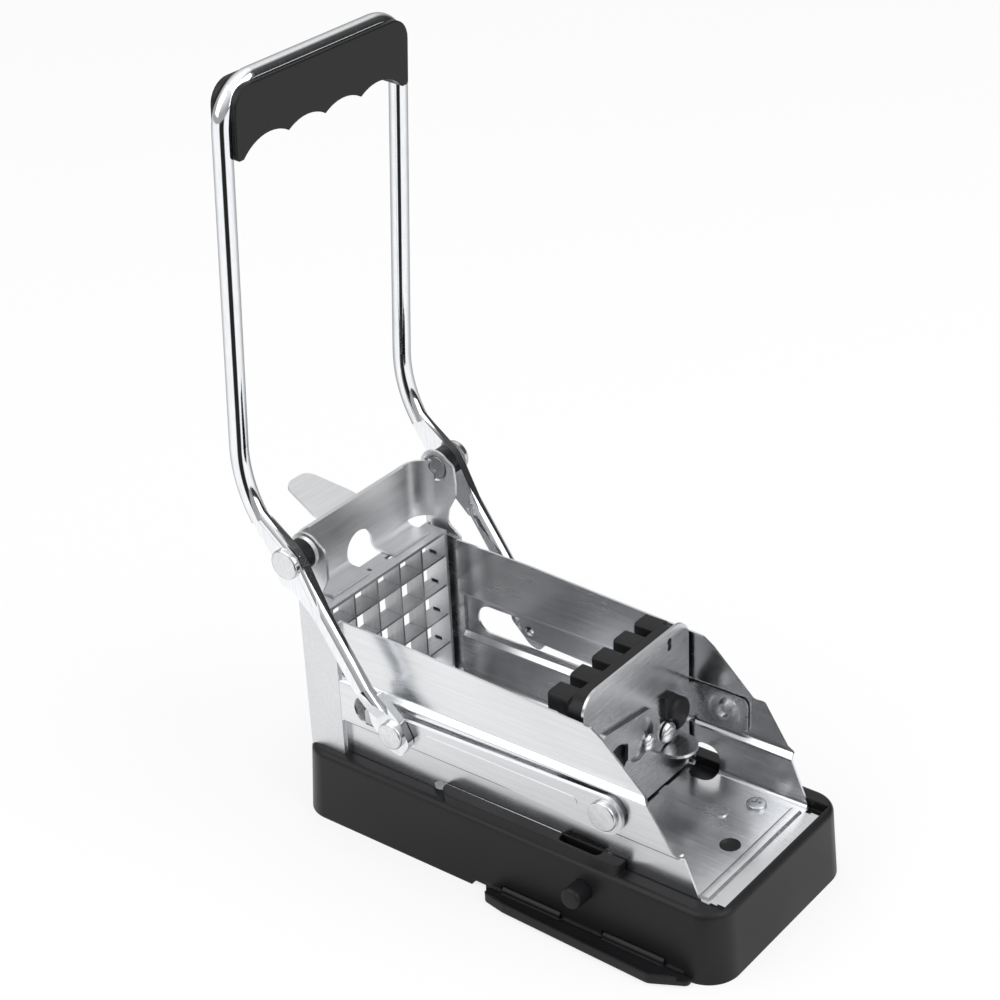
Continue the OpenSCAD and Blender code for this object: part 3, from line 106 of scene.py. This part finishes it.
def metalMaterial(name, look):
    material, tree = newMaterial(name)
    place = addNode(tree, "ShaderNodeTexCoord").outputs["Object"]
    pattern = metalPattern
    # Streaks are noise drawn out along the rolling direction
    drawn = addNode(tree, "ShaderNodeMapping", {"Scale": look["stretch"]}, {"Vector": place}).outputs[0]
    streaks = addNode(tree, "ShaderNodeTexNoise",
                      {"Scale": perMetre(look["streak"]), "Detail": pattern["streakDetail"],
                       "Roughness": pattern["streakRoughness"]}, {"Vector": drawn})
    clouds = addNode(tree, "ShaderNodeTexNoise",
                     {"Scale": perMetre(look["cloud"]), "Detail": pattern["cloudDetail"],
                      "Roughness": pattern["cloudRoughness"]}, {"Vector": place})
    both = addNode(tree, "ShaderNodeMath", {"operation": "MULTIPLY_ADD", 1: look["cloudShare"]},
                   {0: clouds.outputs[0], 2: streaks.outputs[0]})
    middle = 0.5 * (1 + look["cloudShare"])  # noise lies around 0.5
    dullness = addNode(tree, "ShaderNodeMapRange",
                       {"From Min": middle - pattern["spread"], "From Max": middle + pattern["spread"],
                        "To Min": look["polished"], "To Max": look["dull"]}, {"Value": both.outputs[0]})
    tint = addNode(tree, "ShaderNodeValToRGB", links={"Fac": streaks.outputs[0]})
    fillRamp(tint, list(zip(pattern["tintStops"], (linearColour(look["shade"]), linearColour(look["bright"])))))
    waves = addNode(tree, "ShaderNodeBump", {"Strength": look["waviness"], "Distance": pattern["waveDepth"] * mm},
                    {"Height": clouds.outputs[0]})
    lines = addNode(tree, "ShaderNodeBump", {"Strength": look["lines"], "Distance": pattern["lineDepth"] * mm},
                    {"Height": streaks.outputs[0], "Normal": waves.outputs[0]})
    shader = addNode(tree, "ShaderNodeBsdfPrincipled", {"Metallic": 1.0},
                     {"Base Color": tint.outputs[0], "Roughness": dullness.outputs[0], "Normal": lines.outputs[0]})
    finishMaterial(tree, shader)
    return material


# What all plastics and the rubber share, in the same way
plasticPattern = {"grainDetail": 3.0, "grainRoughness": 0.6, "flowDetail": 1.0, "flowStops": (0.35, 0.65),
                  "edgeSamples": 6, "grainDepth": 0.03}


def plasticMaterial(name, look):
    material, tree = newMaterial(name)
    place = addNode(tree, "ShaderNodeTexCoord").outputs["Object"]
    pattern = plasticPattern
    grain = addNode(tree, "ShaderNodeTexNoise",
                    {"Scale": perMetre(look["grain"]), "Detail": pattern["grainDetail"],
                     "Roughness": pattern["grainRoughness"]}, {"Vector": place})
    flow = addNode(tree, "ShaderNodeTexNoise",
                   {"Scale": perMetre(look["flow"]), "Detail": pattern["flowDetail"]}, {"Vector": place})
    dullness = addNode(tree, "ShaderNodeMapRange",
                       {"From Min": pattern["flowStops"][0], "From Max": pattern["flowStops"][1],
                        "To Min": look["glossy"], "To Max": look["dull"]}, {"Value": flow.outputs[0]})
    tint = addNode(tree, "ShaderNodeValToRGB", links={"Fac": flow.outputs[0]})
    fillRamp(tint, list(zip(pattern["flowStops"], (linearColour(look["shade"]), linearColour(look["bright"])))))
    # Moulded edges are slightly rounded
    edge = addNode(tree, "ShaderNodeBevel", {"samples": pattern["edgeSamples"], "Radius": look["edge"] * mm})
    bump = addNode(tree, "ShaderNodeBump", {"Strength": look["texture"], "Distance": pattern["grainDepth"] * mm},
                   {"Height": grain.outputs[0], "Normal": edge.outputs[0]})
    shader = addNode(tree, "ShaderNodeBsdfPrincipled", {"Specular IOR Level": look["shine"]},
                     {"Base Color": tint.outputs[0], "Roughness": dullness.outputs[0], "Normal": bump.outputs[0]})
    finishMaterial(tree, shader)
    return material


# Looks: polished and dull are the least and most roughness, streak, cloud, grain, flow and edge are millimetres.
# Stainless sheet, cold rolled and buffed: bright and even, clouded in wide patches, hardly any streaks
stainlessSheet = {
    "bright": "#dfe0e2", "shade": "#d7d8da", "polished": 0.20, "dull": 0.28, "stretch": (0.05, 1.0, 1.0),
    "streak": 1.4, "cloud": 26.0, "cloudShare": 1.6, "waviness": 0.035, "lines": 0.003}
# The same sheet left satin, as on the housing and the cassette
satinSheet = {
    "bright": "#dedfe1", "shade": "#d4d5d7", "polished": 0.36, "dull": 0.46, "stretch": (1.0, 0.06, 1.0),
    "streak": 1.2, "cloud": 20.0, "cloudShare": 1.2, "waviness": 0.03, "lines": 0.003}
# Chromium plate on drawn steel wire: nearly a mirror, with slight ripples from the drawing
chromePlate = {
    "bright": "#eceef0", "shade": "#e0e2e5", "polished": 0.04, "dull": 0.12, "stretch": (1.0, 1.0, 0.15),
    "streak": 1.0, "cloud": 8.0, "cloudShare": 0.6, "waviness": 0.12, "lines": 0.08}
# Cold-rolled steel sheet, left as rolled: duller and greyer
rolledSheet = {
    "bright": "#cbccce", "shade": "#bfc0c2", "polished": 0.20, "dull": 0.29, "stretch": (1.0, 0.1, 1.0),
    "streak": 1.6, "cloud": 16.0, "cloudShare": 1.4, "waviness": 0.03, "lines": 0.002}
# Blade strip, ground on both faces: fine lines across the cut. Its steel grey is darkened further as painted shade
# between the close-set blades
groundStrip = {
    "bright": "#b4b5b7", "shade": "#9fa0a2", "polished": 0.30, "dull": 0.42, "stretch": (1.0, 0.12, 0.12),
    "streak": 0.9, "cloud": 12.0, "cloudShare": 0.3, "waviness": 0.02, "lines": 0.02}
# Nickel-plated rivet: bright, its head hardly dented by the setting tool
nickelPlate = {
    "bright": "#dedfe0", "shade": "#d0d1d2", "polished": 0.18, "dull": 0.27, "stretch": (1.0, 1.0, 1.0),
    "streak": 1.8, "cloud": 5.0, "cloudShare": 1.5, "waviness": 0.03, "lines": 0.002}
# Zinc-plated steel: a little milky
zincPlate = {
    "bright": "#c4c6c9", "shade": "#b2b4b7", "polished": 0.26, "dull": 0.38, "stretch": (1.0, 1.0, 1.0),
    "streak": 1.5, "cloud": 6.0, "cloudShare": 1.0, "waviness": 0.03, "lines": 0.005}
# Zinc plate painted dark: painted shade on the lever's axle, which sits under the base. Satin
zincPaintedDark = {
    "bright": "#2b2b2d", "shade": "#222224", "polished": 0.38, "dull": 0.48, "stretch": (1.0, 1.0, 1.0),
    "streak": 1.5, "cloud": 6.0, "cloudShare": 1.0, "waviness": 0.03, "lines": 0.005}
# ABS, moulded with a satin spark-eroded texture
satinAbs = {"bright": "#1b1b1d", "shade": "#171719", "glossy": 0.32, "dull": 0.42, "grain": 0.35, "flow": 30.0,
            "texture": 0.10, "shine": 0.25, "edge": 0.9}
# Polypropylene grip, moulded smooth
smoothPolypropylene = {"bright": "#121213", "shade": "#0f0f10", "glossy": 0.22, "dull": 0.32, "grain": 0.5,
                       "flow": 24.0, "texture": 0.03, "shine": 0.28, "edge": 1.2}
# Nitrile rubber: matt, slightly dusty
nitrileRubber = {"bright": "#2a2a2b", "shade": "#222223", "glossy": 0.65, "dull": 0.8, "grain": 0.3, "flow": 20.0,
                 "texture": 0.4, "shine": 0.3, "edge": 0.3}

finishes = {
    "stainlessSheet": metalMaterial("stainless_sheet", stainlessSheet),
    "satinSheet": metalMaterial("satin_sheet", satinSheet),
    "chromePlate": metalMaterial("chrome_plate", chromePlate),
    "rolledSheet": metalMaterial("rolled_sheet", rolledSheet),
    "groundStrip": metalMaterial("ground_strip", groundStrip),
    "nickelPlate": metalMaterial("nickel_plate", nickelPlate),
    "zincPlate": metalMaterial("zinc_plate", zincPlate),
    "zincPaintedDark": metalMaterial("zinc_painted_dark", zincPaintedDark),
    "satinAbs": plasticMaterial("satin_abs", satinAbs),
    "smoothPolypropylene": plasticMaterial("smooth_polypropylene", smoothPolypropylene),
    "nitrileRubber": plasticMaterial("nitrile_rubber", nitrileRubber),
}
print("materials:", len(finishes))

# Each node's finish, its record slot and the angle above which an edge stays sharp
dressing = {
    "base_tray": ("satinAbs", "black_plastic", 40), "stop_peg": ("satinAbs", "black_plastic", 40),
    "suction_lever": ("satinAbs", "black_plastic", 40), "pusher_block": ("satinAbs", "black_plastic", 35),
    "block_stud": ("satinAbs", "black_plastic", 40), "pivot_spacers": ("satinAbs", "black_plastic", 40),
    "grip": ("smoothPolypropylene", "grip_plastic", 38), "handle_frame": ("chromePlate", "chrome_rod", 34),
    "chassis": ("stainlessSheet", "bright_sheet", 32), "rear_housing": ("satinSheet", "bright_sheet", 34),
    "thumb_tab": ("satinSheet", "bright_sheet", 32), "blade_frame": ("satinSheet", "bright_sheet", 30),
    "link_left": ("stainlessSheet", "bright_sheet", 35), "link_right": ("stainlessSheet", "bright_sheet", 35),
    "pusher_plate": ("rolledSheet", "carrier_sheet", 32), "latch_plate": ("rolledSheet", "carrier_sheet", 35),
    "vertical_blades": ("groundStrip", "blade_steel", 30), "horizontal_blades": ("groundStrip", "blade_steel", 30),
    "pivot_rivets": ("nickelPlate", "rivet_steel", 40), "lever_rivets": ("nickelPlate", "rivet_steel", 40),
    "slide_rivets": ("nickelPlate", "rivet_steel", 40), "guide_rivet": ("nickelPlate", "rivet_steel", 40),
    "latch_pivot": ("nickelPlate", "rivet_steel", 40), "floor_screws": ("zincPlate", "zinc_steel", 40),
    "lever_axle": ("zincPaintedDark", "zinc_steel", 40), "lift_plate": ("zincPlate", "zinc_steel", 30),
    "suction_stem": ("zincPlate", "zinc_steel", 40), "suction_pad": ("nitrileRubber", "pad_rubber", 35),
}
joinWithin = 0.002  # millimetres: closer points of a node's triangles are one point
bodyOf = {node: body for body, nodes in frame["record"]["behaviour"]["bodies"].items() for node in nodes}


# A copy of a node with its triangles joined, so that its curved faces shade smoothly
def smoothCopy(node, sharpAngle):
    work = bmesh.new()
    work.from_mesh(frame["nodes"][node].data)
    bmesh.ops.remove_doubles(work, verts=work.verts, dist=joinWithin * mm)
    for face in work.faces:
        face.smooth = True
    for edge in work.edges:  # an edge without two faces counts as sharp
        edge.smooth = edge.calc_face_angle(math.pi) < math.radians(sharpAngle)
    words = node.split("_")
    return objectFrom(work, words[0] + "".join(word.capitalize() for word in words[1:]) + "Surface")


for node, (finish, recordSlot, sharpAngle) in dressing.items():
    piece = smoothCopy(node, sharpAngle)
    piece.data.materials.clear()
    piece.data.materials.append(finishes[finish])
    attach(piece, bodyOf[node])
    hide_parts(node)
print("dressed nodes:", len(dressing))

# The base's black moulding behind the pocket in its step, in millimetres: it closes the trough's cut-out there
pocketLining = {"from": (23.0, -34.4, 25.1), "to": (42.0, -33.4, 31.9), "edge": 0.15}


def makePocketLining(size):
    work = bmesh.new()
    bmesh.ops.create_cube(work, size=1.0)
    spans = [end - start for start, end in zip(size["from"], size["to"])]
    centre = [start + 0.5 * span for start, span in zip(size["from"], spans)]
    bmesh.ops.scale(work, vec=[span * mm for span in spans], verts=work.verts)
    bmesh.ops.translate(work, vec=[value * mm for value in centre], verts=work.verts)
    bmesh.ops.bevel(work, geom=work.edges[:], offset=size["edge"] * mm, segments=1, profile=0.5,
                    affect="EDGES", material=-1)
    return objectFrom(work, "pocketLining")


lining = makePocketLining(pocketLining)
lining.data.materials.append(finishes["satinAbs"])
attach(lining, "frame")
print("pocket lining made")

# Camera: angles in degrees, lengths in millimetres, its reach in metres and its shift in shares of the picture
camera = {"azimuth": 38.506, "elevation": 29.287, "roll": 2.687, "lens": 86.592, "sensor": 36.0,
          "place": (423.59, -558.351, 533.708), "shift": (-0.00758, -0.0023), "reach": 20}
turn, rise, roll = (math.radians(camera[angle]) for angle in ("azimuth", "elevation", "roll"))
sideways = Vector((math.cos(turn), math.sin(turn), 0))
forward = Vector((-math.sin(turn) * math.cos(rise), math.cos(turn) * math.cos(rise), -math.sin(rise)))
downwards = -sideways.cross(forward)
pictureX = sideways * math.cos(roll) + downwards * math.sin(roll)
pictureDown = -sideways * math.sin(roll) + downwards * math.cos(roll)
cameraData = bpy.data.cameras.new("camera")
cameraData.lens = camera["lens"]
cameraData.sensor_width = camera["sensor"]
cameraData.shift_x, cameraData.shift_y = camera["shift"]
cameraData.clip_end = camera["reach"]
cameraObject = newObject("camera", cameraData)
attitude = Matrix((pictureX, -pictureDown, -forward)).transposed().to_4x4()
cameraObject.matrix_world = Matrix.Translation(Vector(camera["place"]) * mm) @ attitude
bpy.context.scene.camera = cameraObject
print("camera set")

# Studio: a white floor under soft lamps. Polished metal sees it as a painted reflection: a painted dark flag in
# front, dimmer behind, and painted shadow near the cutter. Lengths are millimetres, but the floor's size and drop
# are metres. The painted flag's stops run from straight behind (0) to straight towards the camera (1)
studio = {
    "floorSize": 12.0, "floorDrop": 0.0001, "floorColour": "#f4f4f4", "floorGlow": 0.8,
    "paintedFlagFoot": (-90, 0, 0), "paintedFlagFrom": 185, "paintedFlagFull": 215, "beforePaintedFlag": 0.9, "lampsAim": (0, 0, 60),
    "shadeFrom": 40, "shadeTo": 150, "shadeLevel": 0.6, "mirrorLevel": 1.15,
    "flag": [(0.0, 0.30), (0.3, 0.62), (0.5, 0.95), (0.7, 1.0), (0.945, 1.0), (0.972, 0.02), (1.0, 0.02)],
    "lamps": [
        {"name": "softLeft", "at": (-700, -1100, 1150), "size": 1500, "power": 9},
        {"name": "softRight", "at": (1200, 250, 900), "size": 1300, "power": 11},
        {"name": "top", "at": (0, 100, 1500), "size": 1500, "power": 1.5},
    ],
}
floorMaterial, tree = newMaterial("studio_floor")
seen = addNode(tree, "ShaderNodeLightPath")
spot = addNode(tree, "ShaderNodeTexCoord").outputs["Object"]
across = addNode(tree, "ShaderNodeVectorMath",
                 {"operation": "SUBTRACT", 1: [value * mm for value in studio["paintedFlagFoot"]]}, {0: spot})
outward = addNode(tree, "ShaderNodeVectorMath", {"operation": "NORMALIZE"}, {0: across.outputs[0]})
towardsCamera = tuple(-forward.xy.normalized()) + (0,)
towards = addNode(tree, "ShaderNodeVectorMath", {"operation": "DOT_PRODUCT", 1: towardsCamera},
                  {0: outward.outputs[0]})
facing = addNode(tree, "ShaderNodeMapRange", {"From Min": -1.0, "From Max": 1.0},
                 {"Value": towards.outputs["Value"]})
reach = addNode(tree, "ShaderNodeVectorMath", {"operation": "LENGTH"}, {0: across.outputs[0]})
limit = addNode(tree, "ShaderNodeMapRange",
                {"From Min": studio["paintedFlagFrom"] * mm, "From Max": studio["paintedFlagFull"] * mm,
                 "To Min": studio["beforePaintedFlag"], "To Max": 1.0}, {"Value": reach.outputs["Value"]})
along = addNode(tree, "ShaderNodeMath", {"operation": "MINIMUM"}, {0: facing.outputs[0], 1: limit.outputs[0]})
# Painted reflection: a dark flag painted into the floor's glow that only polished metal sees; no flag stands in the
# scene
flag = addNode(tree, "ShaderNodeValToRGB", links={"Fac": along.outputs[0]})
fillRamp(flag, [(stop, (grey, grey, grey, 1)) for stop, grey in studio["flag"]])
# Painted shadow: the floor's glow for polished metal is dimmer near the cutter, and rises above white further out
away = addNode(tree, "ShaderNodeVectorMath", {"operation": "LENGTH"}, {0: spot})
shade = addNode(tree, "ShaderNodeMapRange",
                {"From Min": studio["shadeFrom"] * mm, "From Max": studio["shadeTo"] * mm,
                 "To Min": studio["shadeLevel"], "To Max": studio["mirrorLevel"]}, {"Value": away.outputs["Value"]})
mirrored = addNode(tree, "ShaderNodeEmission", {}, {"Color": flag.outputs[0], "Strength": shade.outputs[0]})
direct = addNode(tree, "ShaderNodeMath", {"operation": "MAXIMUM"},
                 {0: seen.outputs["Is Camera Ray"], 1: seen.outputs["Is Transmission Ray"]})
share = addNode(tree, "ShaderNodeMath", {"operation": "MULTIPLY", 1: studio["floorGlow"]}, {0: direct.outputs[0]})
paint = addNode(tree, "ShaderNodeBsdfDiffuse", {"Color": linearColour(studio["floorColour"])})
glow = addNode(tree, "ShaderNodeEmission", {"Color": (1, 1, 1, 1), "Strength": 1.0})
plain = addNode(tree, "ShaderNodeMixShader", {}, {0: share.outputs[0], 1: paint.outputs[0], 2: glow.outputs[0]})
finishMaterial(tree, addNode(tree, "ShaderNodeMixShader", {}, {0: seen.outputs["Is Glossy Ray"],
                                                               1: plain.outputs[0], 2: mirrored.outputs[0]}))

# The floor lies a little under the base, so that the two don't share a face
work = bmesh.new()
bmesh.ops.create_grid(work, x_segments=1, y_segments=1, size=0.5)
bmesh.ops.scale(work, vec=(studio["floorSize"], studio["floorSize"], 1), verts=work.verts)
bmesh.ops.translate(work, vec=(0, 0, -studio["floorDrop"]), verts=work.verts)
plane = objectFrom(work, "studioFloor")
plane.data.materials.append(floorMaterial)
for lamp in studio["lamps"]:
    light = bpy.data.lights.new(lamp["name"], "AREA")
    light.shape = "SQUARE"
    light.size = lamp["size"] * mm
    light.energy = lamp["power"]
    lampPlace = Vector(lamp["at"]) * mm
    aim = (Vector(studio["lampsAim"]) * mm - lampPlace).to_track_quat("-Z", "Y")
    newObject(lamp["name"], light).matrix_world = Matrix.Translation(lampPlace) @ aim.to_matrix().to_4x4()
print("floor and lamps set")

# World: even light. Polished metal sees it brighter overhead than near the horizon, and dark to the far right.
# Heights and sides are shares of a unit direction
sky = {"heights": (0.25, 0.75), "levels": (0.42, 1.0), "darkTowards": (0.707, 0.707, 0), "sides": (0.42, 0.68),
       "darkLevel": 0.10, "level": 0.72}
world = bpy.data.worlds.new("studio")
bpy.context.scene.world = world
world.use_nodes = True
tree = world.node_tree
tree.nodes.clear()
seen = addNode(tree, "ShaderNodeLightPath")
direction = addNode(tree, "ShaderNodeTexCoord").outputs["Generated"]
upward = addNode(tree, "ShaderNodeSeparateXYZ", {}, {0: direction})
height = addNode(tree, "ShaderNodeMapRange",
                 {"From Min": sky["heights"][0], "From Max": sky["heights"][1], "To Min": sky["levels"][0],
                  "To Max": sky["levels"][1]}, {"Value": upward.outputs["Z"]})
sideward = addNode(tree, "ShaderNodeVectorMath", {"operation": "DOT_PRODUCT", 1: sky["darkTowards"]},
                   {0: direction})
side = addNode(tree, "ShaderNodeMapRange",
               {"From Min": sky["sides"][0], "From Max": sky["sides"][1], "To Min": 1.0, "To Max": sky["darkLevel"]},
               {"Value": sideward.outputs["Value"]})
level = addNode(tree, "ShaderNodeMath", {"operation": "MULTIPLY"}, {0: height.outputs[0], 1: side.outputs[0]})
overhead = addNode(tree, "ShaderNodeBackground", {"Color": (1, 1, 1, 1)}, {"Strength": level.outputs[0]})
even = addNode(tree, "ShaderNodeBackground", {"Color": (1, 1, 1, 1), "Strength": sky["level"]})
white = addNode(tree, "ShaderNodeBackground", {"Color": (1, 1, 1, 1), "Strength": 1.0})
mirrored = addNode(tree, "ShaderNodeMixShader", {}, {0: seen.outputs["Is Glossy Ray"], 1: even.outputs[0],
                                                     2: overhead.outputs[0]})
shown = addNode(tree, "ShaderNodeMath", {"operation": "MAXIMUM"},
                {0: seen.outputs["Is Camera Ray"], 1: seen.outputs["Is Transmission Ray"]})
backdrop = addNode(tree, "ShaderNodeMixShader", {}, {0: shown.outputs[0], 1: mirrored.outputs[0],
                                                     2: white.outputs[0]})
addNode(tree, "ShaderNodeOutputWorld", {}, {"Surface": backdrop.outputs[0]})
bpy.context.scene.view_settings.view_transform = "Standard"
print("world set")
